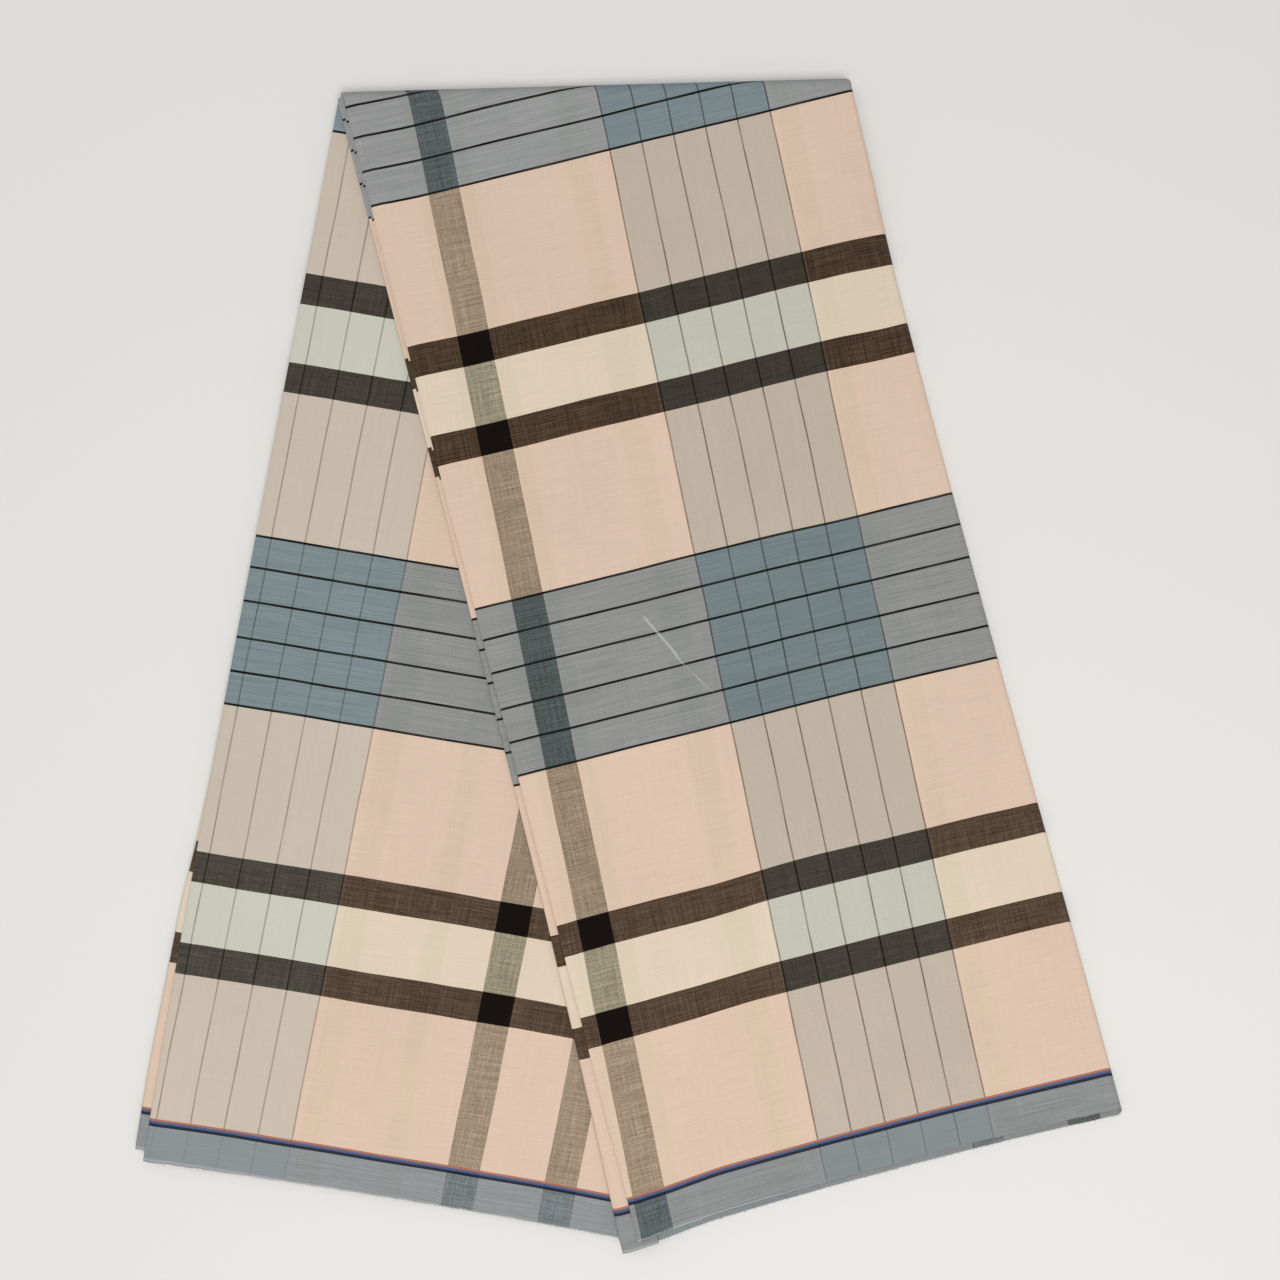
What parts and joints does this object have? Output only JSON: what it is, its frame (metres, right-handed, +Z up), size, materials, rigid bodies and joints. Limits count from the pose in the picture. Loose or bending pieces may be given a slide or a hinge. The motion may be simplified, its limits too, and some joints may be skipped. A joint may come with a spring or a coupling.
{
  "type": "folded lungi",
  "caption": "Checked cotton lungi folded into a flat strip and doubled over at the top, so that the front half lies across the back half in a narrow inverted V.",
  "frame": {"origin": "on the surface that the folded cloth rests on, under the middle of its bounding box", "axes": "+Y from the hems towards the top fold, along the longest side; +X to the right as seen from above; +Z up, through the plies"},
  "size_m": [0.5228, 0.6165, 0.0109],
  "materials": {
    "peach_cotton": "crisp woven cotton check on a peach ground, faint sheen",
    "blue_grey_cotton": "crisp woven cotton check, blue-grey band, faint sheen",
    "edge_cotton": "crisp woven cotton, pale peach"
  },
  "bodies": {
    "root": {"upper_outer_ply": "peach_cotton", "top_fold_ply": "blue_grey_cotton", "lower_outer_ply": "peach_cotton", "upper_edge_ply_inner": "edge_cotton", "upper_edge_ply_outer": "edge_cotton", "lower_edge_ply_inner": "edge_cotton", "lower_edge_ply_outer": "edge_cotton", "hidden_plies": "edge_cotton"}
  },
  "joints": []
}
